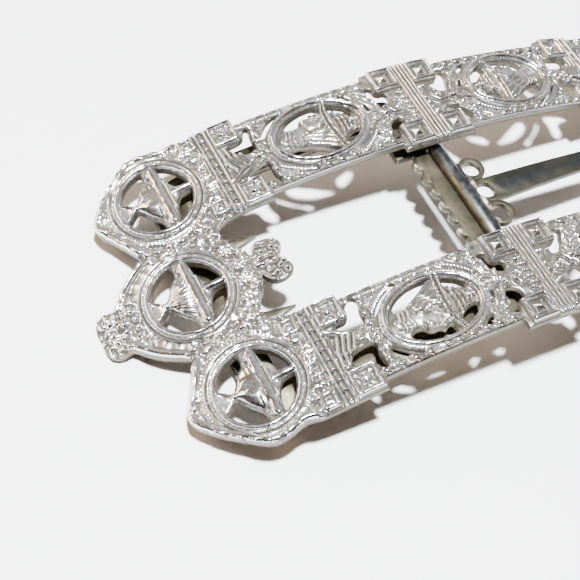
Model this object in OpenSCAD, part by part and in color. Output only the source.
/* [Frame] */
// Radius of the arch along the length, measured at the top of the ornament
arch_r = 133; // [125:1:145]
// Half the length along the arch, to the outer tips of the end knobs
half_len = 52; // [50:0.1:53]
// Inner edge of each rail at its trays and strips, from the middle line
rail_in = 7.9; // [7.7:0.05:8]
// Outer edge of each rail at its trays and strips, from the middle line
rail_out = 21.6; // [21.5:0.05:22]
// Thickness of the pierced plate
plate_t = 0.9; // [0.8:0.1:1.1]
// Height of the trays and rings above the plate
relief = 0.8; // [0.7:0.1:0.9]

/* [Medallions] */
// Outer radius of the six round rings
ring_r = 5.75; // [5.5:0.05:5.9]
// Width of a round or oval ring's band
ring_w = 1.1; // [0.9:0.05:1.3]
// Distance along the arch of the corner medallions
corner_u = 38.1; // [37.5:0.1:38.5]
// Distance from the middle line of the corner medallions
corner_y = 14.5; // [14:0.1:15]
// Distance along the arch of the middle medallions
middle_u = 40.2; // [39.5:0.1:41]

/* [Rails] */
// Distance along the arch of the oval medallions
oval_u = 14.95; // [14.5:0.05:15.5]
// Half length of an oval ring
oval_a = 7.1; // [6.8:0.05:7.3]
// Half width of an oval ring
oval_b = 5.1; // [4.9:0.05:5.2]
// Side of a square tray
tray = 3.5; // [3.2:0.1:3.5]
// Centre of the rosette trays along the arch
tray1_u = 26.6; // [26.5:0.05:26.65]
// Centre of the pyramid trays along the arch
tray2_u = 2.95; // [2.9:0.05:3]
// Centre of the outer cross strip along the arch
strip1_u = 29.35; // [29.2:0.05:29.5]
// Width of the outer cross strip
strip1_w = 1.8; // [1.6:0.1:2]
// Width of the middle cross strip
strip2_w = 2.2; // [2:0.1:2.3]

/* [Chape] */
// Depth of the pin's axis below the top of the ornament
pin_drop = 4; // [3.9:0.1:4.4]
// Diameter of the hinge pin
pin_d = 1.5; // [1.3:0.1:1.7]
// Radial clearance between the pin and the knuckles
pin_gap = 0.05; // [0.03:0.01:0.08]
// Outer diameter of the knuckles
knuckle_d = 2.4; // [2.3:0.1:2.6]
// Thickness of the sheet of the loop and the tongue
sheet_t = 0.9; // [0.7:0.1:1]
// Distance of the loop's far edge from the pin
loop_len = 37.6; // [36:0.1:38]
// Half width of the loop
loop_half = 18.5; // [18:0.1:19]
// Width of the loop's band
band_w = 4.1; // [3.8:0.1:4.4]
// Length of the tongue from the pin to its point
tongue_len = 26.2; // [24:0.1:26.4]
// Angle by which the blade rises from the pin
tongue_lift = 3; // [0:0.5:3.5]
// Width of the blade next to its root
blade_w = 3.8; // [3.6:0.1:4.2]
// Width of the blade near its point
tip_w = 2.4; // [2:0.1:3]

/* [Hidden] */
$fn = 20;

// Angle on the arch of a length along it
function arc_angle(u) = u / arch_r * 180 / PI;
// Plan distance from the middle of a length along the arch
function plan_x(u) = arch_r * sin(arc_angle(u));

// Radii of the plate's two faces, and the height that sets the end knobs on the ground
top_r = arch_r - relief;
under_r = top_r - plate_t;
foot_flat = 0.08;
rise = arch_r - under_r * cos(arc_angle(half_len)) - foot_flat;
sink = 0.3;
ledge = 0.1;

rail_y = 14.9;
rail_w = rail_out - rail_in;
tray_in_y = rail_in + 2 * ledge + tray / 2;
tray_out_y = rail_out - 2 * ledge - tray / 2;
pin_z = rise - pin_drop;
loop_r = arch_r - pin_drop;
tongue_r = 250;
lug_in = 14;
lug_out = 15.6;
lug_r = 1.5;
edge_gap = 0.4;
knuckle_in = 9;
knuckle_out = 13.2;
tube_half = 8.6;
tube_gap = 0.3;
scallop = 2.3;

// Every list of points or places below is for one quarter of the frame. A point is
// the length along the arch from the middle, then the distance from the middle line.

// Outline of a quarter, from the middle strip by the crest and the knobs to the corner panel
quarter_edge = [
    [0, rail_in], [5.4, rail_in], [5.4, 8.7], [24.6, 8.7], [24.6, rail_in], [30.5, rail_in],
    [32.9, 7.2], [33.2, 6.4], [33.2, 5.4], [32.8, 4.5], [31.9, 3.5], [31.5, 2.4], [31, 1.5],
    [30.7, 2.4], [30, 3.1], [28.8, 3.2], [27.6, 2.8], [27, 2], [27.2, 1.1], [28.2, 0],
    [half_len - 0.4, 0], [half_len - 0.1, 0.7], [half_len, 1.5], [half_len - 0.3, 2.4], [half_len - 0.9, 3],
    [50.3, 3.2], [49.5, 3], [48.9, 3], [47.5, 4.7], [46, 6], [44.2, 7.1], [43.2, 7.7],
    [43.8, 8.8], [45.3, 11.6], [46.4, 13.1], [46.8, 14.4], [46.5, 15.6], [45.2, 17], [44.3, 18],
    [43, 19.1], [41.7, 20.1], [40.4, 21.2], [39, 21.8], [37.6, 21.8], [36.5, 21.5], [35.5, 21.2],
    [34.6, 21.15], [33.7, 21.4], [33, rail_out], [24.6, rail_out], [24.6, 20.5], [5.4, 20.5],
    [5.4, rail_out], [0, rail_out]
];

// Openings of a rail: beside the rosette trays, beside the oval, round the head, beside the pyramid trays
rail_openings = [
    [[23, 9.2], [22.5, 10], [23.2, 11.3], [22.9, 13.6], [25.2, 13], [26.7, 12.2], [26.7, 11.9], [24.6, 11.85], [24.3, 9.2]],
    [[25.6, 15.7], [23.6, 15.5], [23.2, 16.2], [23.7, 17.3], [23.2, 19.2], [23.8, 19.5], [24.5, 17.7], [27.2, 17.65], [26.7, 16.1]],
    [[16.9, 9.6], [18.8, 9.45], [20.6, 10.2], [21.6, 11.3], [22, 12.9], [20.9, 12.1], [19.4, 10.7]],
    [[22, 16.8], [21.2, 17.6], [19.7, 18.9], [18.2, 19.6], [18.6, 19.8], [20.3, 19.3], [21.5, 18.3], [22.1, 17.5]],
    [[19.5, 12.7], [18.6, 11.9], [17.1, 11.2], [15.6, 10.9], [13.5, 10.95], [13.5, 11.2], [14.6, 11.5],
        [15.7, 12.3], [17.3, 13], [18.5, 13.6], [19.6, 13.6]],
    [[12.25, 11.4], [11.2, 11.85], [10.3, 12.4], [9.4, 13.4], [10, 13.6], [10.9, 13.2], [12.25, 12.8]],
    [[9.3, 15.9], [9.8, 17], [10.8, 17.7], [12.2, 18.4], [12.45, 17.3], [11.6, 16.5], [10.4, 15.9]],
    [[13.6, 18.7], [13.7, 17.4], [14.3, 17.3], [14.9, 17.9], [15.4, 17.3], [16.2, 17.4], [16.9, 17.1],
        [17.3, 16.5], [18.3, 16.4], [19.2, 16.9], [18.4, 17.9], [16.8, 18.5], [15.2, 18.8]],
    [[6.6, 10.2], [5, 9.9], [4.95, 11.85], [3.3, 11.9], [3.5, 13.3], [4.7, 13.1], [5.6, 12.1], [5.9, 11.2]],
    [[5.3, 15.6], [4.3, 15.8], [3.5, 16.4], [3.4, 17.65], [4.95, 17.7], [5.05, 19.2], [6.2, 19], [6.4, 18.1], [5.8, 16.8]],
    [[6.9, 15.4], [7.4, 15.3], [7.8, 16.5], [7.4, 16.6]],
    [[10.3, 19.3], [8.8, 18.1], [8.3, 18.2], [9.5, 19.4]]
];

// Urn seen from the side, lying along x: foot plate, bowl, rim with its handles, and neck
urn_edge = [
    [-5, -1.9], [-3.9, -1.2], [-3, -0.45], [-2.6, -0.45], [-2.1, -1.2], [-1.4, -2.2], [-0.3, -3.3], [-0.6, -5],
    [1.7, -5], [1.7, -3.2], [2.3, -1.6], [2.9, -0.7], [3.7, -0.45], [5, -0.45],
    [5, 0.45], [3.7, 0.45], [2.9, 0.7], [2.3, 1.6], [1.7, 3.2], [1.7, 5],
    [-0.6, 5], [-0.3, 3.3], [-1.4, 2.2], [-2.1, 1.2], [-2.6, 0.45], [-3, 0.45], [-3.9, 1.2], [-5, 1.9]
];

// Beads inside the edge of the corner panel
corner_beads = [[44.1, 10.6], [44.9, 12], [45.8, 13.4], [45.9, 14.9], [45, 16.3], [39.8, 20.8], [38.4, 21.2], [37, 21.1]];
// Leaves: place, turn and length
leaves = [
    [9, 9.1, 0, 1.6], [10.9, 9.1, 0, 1.6], [12.8, 9.1, 0, 1.6], [19.7, 9.1, 0, 1.6], [21.6, 9.1, 0, 1.5],
    [22.3, 10.6, -80, 1.4], [22.5, 12.3, -85, 1.3], [7.4, 10.6, -110, 1.4], [6.9, 12.2, -105, 1.4],
    [22.9, 16.9, 100, 1.3], [22.6, 18.4, 105, 1.3], [11.6, 20.15, 0, 1.5], [9.8, 20.15, 0, 1.5], [8, 20.15, 0, 1.5],
    [20, 20.15, 0, 1.5], [21.8, 20.15, 0, 1.5], [47.6, 1, -60, 2.2], [46.6, 2.8, -55, 1.7], [45.5, 4.6, -48, 1.2]
];

// Puts its children on the arch, with local x along the arch and z = 0 at the plate's top face
module on_arch(u, y) {
    translate([0, 0, rise - arch_r])
        rotate([0, arc_angle(u), 0])
            translate([0, y, top_r])
                children();
}

// Sheet bent round an axis along y, given its mean radius, its thickness and the height of its middle
module bent_sheet(mean_r, thickness, mid_z) {
    half_y = 26;
    translate([0, half_y, mid_z - mean_r])
        rotate([90, 0, 0])
            difference() {
                cylinder(r = mean_r + thickness / 2, h = 2 * half_y, $fn = 180);
                translate([0, 0, -1])
                    cylinder(r = mean_r - thickness / 2, h = 2 * half_y + 2, $fn = 180);
            }
}

module ellipse(a, b) {
    sides = 36;
    polygon([for (step = [0 : sides - 1]) [a * cos(step * 360 / sides), b * sin(step * 360 / sides)]]);
}

// Shape drawn in lengths along the arch, laid out flat for the end at negative x
module in_plan(points) {
    polygon([for (p = points) [-plan_x(p[0]), p[1]]]);
}

// What is cut away inside a round ring
module urn_gaps() {
    difference() {
        circle(r = ring_r - ring_w, $fn = 28);
        polygon(urn_edge);
    }
}

// Low bead that stands on the plate
module bead(radius, height) {
    translate([0, 0, -sink])
        cylinder(r = radius, h = sink + height, $fn = 16);
}

// Shallow dome: the cap of a ball whose foot on the plate has the given radius
module dome(radius, height) {
    ball_r = (radius * radius + height * height) / (2 * height);
    intersection() {
        translate([0, 0, height - ball_r])
            sphere(r = ball_r, $fn = 28);
        translate([-radius - 1, -radius - 1, -sink])
            cube([2 * radius + 2, 2 * radius + 2, height + 1]);
    }
}

// Raised urn, lying along x: domed bowl, rim, shoulder, neck, foot and the handles at the rim's ends
module urn_relief() {
    rim_half = 3;
    translate([-0.9, 0, 0])
        dome(1.6, 0.8);
    translate([0.2, -rim_half, -sink])
        cube([1.1, 2 * rim_half, sink + relief]);
    translate([1.5, -1.4, -sink])
        cube([0.5, 2.8, sink + 0.4]);
    translate([1.8, -0.3, -sink])
        cube([3.2, 0.6, sink + 0.3]);
    translate([-5, -0.3, -sink])
        cube([2.9, 0.6, sink + 0.3]);
    for (side = [-1, 1])
        translate([0.75, side * (rim_half + 0.75), 0])
            bead(0.6, 0.5);
}

// Raised round ring, a ledge back from the gaps inside it
module round_ring() {
    translate([0, 0, -sink])
        linear_extrude(sink + relief)
            difference() {
                circle(r = ring_r, $fn = 28);
                circle(r = ring_r - ring_w + ledge, $fn = 28);
            }
}

// Square tray: a rim round a knob, which is a rosette ball or a pyramid
module square_tray(pyramid) {
    rim = 0.45;
    translate([0, 0, -sink])
        linear_extrude(sink + relief)
            difference() {
                square(tray, center = true);
                square(tray - 2 * rim, center = true);
            }
    if (pyramid)
        for (step = [0 : 2])
            translate([0, 0, -sink])
                linear_extrude(sink + 0.25 + 0.25 * step)
                    square(2 - 0.6 * step, center = true);
    else {
        bead(0.6, 0.7);
        for (turn = [45 : 90 : 315])
            rotate(turn)
                translate([1.05, 0, 0])
                    bead(0.3, 0.35);
    }
}

// Raised bar with corners at two points of the quarter
module bar(from, to, height) {
    on_arch(-(from[0] + to[0]) / 2, (from[1] + to[1]) / 2)
        translate([0, 0, (height - sink) / 2])
            cube([abs(to[0] - from[0]), abs(to[1] - from[1]), sink + height], center = true);
}

// Two folds of the bell between the rosette trays, with the arm that reaches the oval ring
module bell_relief() {
    bell_u = 27.2;
    on_arch(-bell_u, rail_y + 0.6)
        for (fold = [[[0.5, -1.7], [1.1, -1.7], [-0.1, 1.5], [-0.7, 1.5]], [[-0.3, -1.7], [0.3, -1.7], [-0.85, 1.5], [-1.15, 1.5]]])
            translate([0, 0, -sink])
                linear_extrude(sink + 0.65)
                    polygon(fold);
    bar([22.6, 14.1], [25.6, 14.7], 0.35);
}

// Scroll between the pyramid trays, from the oval ring to the middle strip
module scroll_relief() {
    bar([1.3, 14.1], [4.6, 14.8], 0.35);
    on_arch(-5.4, 14.45)
        bead(0.65, 0.6);
    for (y = [12.8, 16])
        on_arch(-2.3, y)
            bead(0.6, 0.5);
}

// Raised head: domed skull, neck, brim, a crown of three ribs and its button
module head_relief() {
    brim_x = 1.8;
    translate([0.2, -0.3, 0])
        dome(1.5, 0.75);
    translate([-4.6, -0.9, -sink])
        cube([2.4, 2, sink + 0.35]);
    translate([brim_x, -4.2, -sink])
        cube([0.5, 8.2, sink + relief]);
    for (step = [0 : 2])
        translate([brim_x + 0.75 + 0.7 * step, -1.3 + 0.3 * step, -sink])
            cube([0.4, 2.5 - 0.5 * step, sink + 0.55]);
    translate([5, -0.05, 0])
        bead(0.35, 0.45);
}

// Raised oval ring
module oval_ring() {
    translate([0, 0, -sink])
        linear_extrude(sink + relief)
            difference() {
                ellipse(oval_a - 2 * ledge, oval_b - 2 * ledge);
                ellipse(oval_a - ring_w + ledge, oval_b - ring_w + ledge);
            }
}

// One leaf, pointing along x
module leaf(length) {
    half_w = 0.22;
    translate([0, 0, -sink])
        linear_extrude(sink + 0.35)
            polygon([[0, 0], [length * 0.35, -half_w], [length, 0], [length * 0.35, half_w]]);
}

// Outer cross strip: a row of beads between two ridges
module outer_strip() {
    ridge = 0.35;
    pitch = 0.95;
    bead_r = 0.42;
    length = rail_w - 4 * ledge;
    for (side = [-1, 1])
        translate([side * (strip1_w - ridge) / 2 - ridge / 2, -length / 2, -sink])
            cube([ridge, length, sink + 0.65]);
    count = floor(length / pitch);
    for (step = [0 : count - 1])
        translate([0, (step - (count - 1) / 2) * pitch, 0])
            bead(bead_r, 0.55);
}

// Small nested square between the corner medallion and the outer strip
module nested_square() {
    translate([0, 0, -sink])
        linear_extrude(sink + 0.5)
            difference() {
                square(1.8, center = true);
                square(1.1, center = true);
            }
    translate([0, 0, -sink])
        linear_extrude(sink + 0.35)
            square(0.6, center = true);
}

// Flower with petals round a button
module rosette(petals, radius) {
    bead(radius * 0.34, 0.55);
    for (step = [0 : petals - 1])
        rotate(step * 360 / petals)
            translate([radius * 0.7, 0, 0])
                bead(radius * 0.28, 0.4);
}

// Raised ornament of one quarter of the frame, at negative x and positive y
module quarter_ornament() {
    on_arch(-corner_u, corner_y) {
        round_ring();
        urn_relief();
    }
    on_arch(-oval_u, rail_y) {
        oval_ring();
        head_relief();
    }
    for (y = [tray_in_y, tray_out_y]) {
        on_arch(-tray1_u, y)
            square_tray(false);
        on_arch(-tray2_u, y)
            square_tray(true);
    }
    for (y = [9.4, 20.1])
        on_arch(-31.5, y)
            nested_square();
    on_arch(-31.3, 14.4)
        rosette(5, 0.9);
    on_arch(-33.8, 3.7)
        rosette(6, 1.3);
    // Lobe of the crest
    on_arch(-29.1, 1.9)
        bead(1, 0.5);
    on_arch(-strip1_u, (rail_in + rail_out) / 2)
        outer_strip();
    // Ridges of the middle strip
    bar([-ledge, rail_in + 2 * ledge], [0.35, rail_out - 2 * ledge], 0.6);
    bar([strip2_w / 2 - 0.4, rail_in + 2 * ledge], [strip2_w / 2, rail_out - 2 * ledge], 0.65);
    bell_relief();
    scroll_relief();
    for (place = corner_beads)
        on_arch(-place[0], place[1])
            bead(0.35, 0.5);
    for (place = leaves)
        on_arch(-place[0], place[1])
            rotate(180 + place[2])
                leaf(place[3]);
}

// Lug below the rail that carries one end of the pin
module lug() {
    difference() {
        union() {
            translate([0, lug_out, pin_z])
                rotate([90, 0, 0])
                    cylinder(r = lug_r, h = lug_out - lug_in, $fn = 24);
            translate([-lug_r, lug_in, pin_z])
                cube([2 * lug_r, lug_out - lug_in, rise - relief - plate_t / 2 - pin_z]);
        }
        translate([0, lug_out + 1, pin_z])
            rotate([90, 0, 0])
                cylinder(d = pin_d, h = lug_out - lug_in + 2, $fn = 24);
    }
}

// Openings of a quarter of the plate, cut square to the arch
module quarter_gaps() {
    on_arch(-corner_u, corner_y)
        through()
            urn_gaps();
    on_arch(-middle_u, 0)
        through()
            urn_gaps();
    for (opening = rail_openings) {
        middle = (opening[0][0] + opening[3][0]) / 2;
        on_arch(-middle, 0)
            through()
                polygon([for (p = opening) [middle - p[0], p[1]]]);
    }
}

// Turns a plan into a cutter that passes through the plate
module through() {
    translate([0, 0, -plate_t - 1])
        linear_extrude(plate_t + 3)
            children();
}

// One quarter of the frame, at negative x and positive y
module quarter() {
    union() {
        difference() {
            intersection() {
                linear_extrude(rise + 1)
                    in_plan(quarter_edge);
                bent_sheet((top_r + under_r) / 2, plate_t, rise - relief - plate_t / 2);
            }
            quarter_gaps();
        }
        quarter_ornament();
        intersection() {
            union() {
                on_arch(-middle_u, 0) {
                    round_ring();
                    urn_relief();
                }
                lug();
            }
            translate([-60, 0, 0])
                cube([60, 30, 30]);
        }
    }
}

// Cast frame
module frame() {
    color("silver")
        union() {
            quarter();
            mirror([1, 0, 0])
                quarter();
            mirror([0, 1, 0])
                quarter();
            mirror([1, 0, 0])
                mirror([0, 1, 0])
                    quarter();
        }
}

// Hinge pin
module hinge_pin() {
    color("slategray")
        translate([0, 0, pin_z])
            rotate([90, 0, 0])
                cylinder(d = pin_d, h = 2 * lug_out, center = true, $fn = 24);
}

// Rectangle with corners at two points, with all four corners rounded
module round_box(from, to, radius) {
    translate([from[0] + radius, from[1]])
        square([to[0] - from[0] - 2 * radius, to[1] - from[1]]);
    translate([from[0], from[1] + radius])
        square([to[0] - from[0], to[1] - from[1] - 2 * radius]);
    for (x = [from[0] + radius, to[0] - radius])
        for (y = [from[1] + radius, to[1] - radius])
            translate([x, y])
                circle(r = radius, $fn = 24);
}

// Plan of the loop: a band round a window, a scalloped plate beside the pin and two spikes
module loop_plan() {
    near_x = -lug_r - edge_gap;
    tube_x = -knuckle_d / 2 - tube_gap;
    plate_x = -3.55;
    plate_half = knuckle_in + 0.2;
    scallop_x = -3.2;
    difference() {
        round_box([-loop_len, -loop_half], [near_x, loop_half], 1.6);
        round_box([-loop_len + band_w, -loop_half + band_w], [near_x - band_w, loop_half - band_w], 2.6);
        translate([-6, -rail_in - 0.6])
            square([12, 2 * rail_in + 1.2]);
        // Rounded outer corners at the far end
        for (side = [0, 1])
            mirror([0, side])
                difference() {
                    translate([-loop_len - 1, loop_half - 5])
                        square([6, 6]);
                    translate([-loop_len + 5, loop_half - 5])
                        circle(r = 5, $fn = 32);
                }
    }
    translate([plate_x, -plate_half])
        square([tube_x - plate_x, 2 * plate_half]);
    for (step = [-3 : 3])
        translate([scallop_x, step * scallop])
            circle(r = scallop / 2 - 0.05, $fn = 16);
    spike_w = 2.8;
    spike_len = 6.4;
    spike_y = 5.6;
    for (side = [-1, 1])
        translate([-loop_len + band_w - 0.5, side * spike_y])
            polygon([[0, -spike_w / 2], [spike_len, 0], [0, spike_w / 2]]);
    for (side = [0, 1])
        mirror([0, side])
            translate([near_x - 0.5, knuckle_in])
                square([-near_x + 0.5, knuckle_out - knuckle_in]);
}

// Tube round the pin between two distances from the middle line
module knuckle(from_y, to_y) {
    translate([0, to_y, pin_z])
        rotate([90, 0, 0])
            cylinder(d = knuckle_d, h = to_y - from_y, $fn = 32);
}

module knuckle_bore() {
    translate([0, 30, pin_z])
        rotate([90, 0, 0])
            cylinder(r = pin_d / 2 + pin_gap, h = 60, $fn = 32);
}

// Loop of the chape
module loop() {
    color("darkkhaki")
        difference() {
            union() {
                intersection() {
                    linear_extrude(rise)
                        loop_plan();
                    bent_sheet(loop_r, sheet_t, pin_z);
                }
                knuckle(knuckle_in, knuckle_out);
                knuckle(-knuckle_out, -knuckle_in);
            }
            knuckle_bore();
        }
}

// Plan of the tongue: a strip beside the tube, three pierced lobes, and a blade that tapers to a point
module tongue_plan() {
    strip_x = 2.2;
    hole_x = 2.65;
    hole_r = 1.2;
    lobe_r = 1.85;
    hole_pitch = 3.8;
    strip_half = hole_pitch + 1.4;
    point_len = 2.6;
    difference() {
        union() {
            translate([0, -strip_half])
                square([strip_x, 2 * strip_half]);
            for (step = [-1 : 1])
                translate([hole_x, step * hole_pitch])
                    circle(r = lobe_r, $fn = 28);
            polygon([
                [hole_x, -blade_w / 2], [tongue_len - point_len, -tip_w / 2], [tongue_len, 0],
                [tongue_len - point_len, tip_w / 2], [hole_x, blade_w / 2]
            ]);
        }
        for (step = [-1 : 1])
            translate([hole_x, step * hole_pitch])
                circle(r = hole_r, $fn = 24);
    }
}

// Tongue of the chape
module tongue() {
    color("darkkhaki")
        difference() {
            union() {
                translate([0, 0, pin_z])
                    rotate([0, -tongue_lift, 0])
                        translate([0, 0, -pin_z])
                            intersection() {
                                linear_extrude(rise)
                                    tongue_plan();
                                bent_sheet(tongue_r, sheet_t, pin_z);
                            }
                knuckle(-tube_half, tube_half);
            }
            knuckle_bore();
        }
}

frame();
hinge_pin();
loop();
tongue();
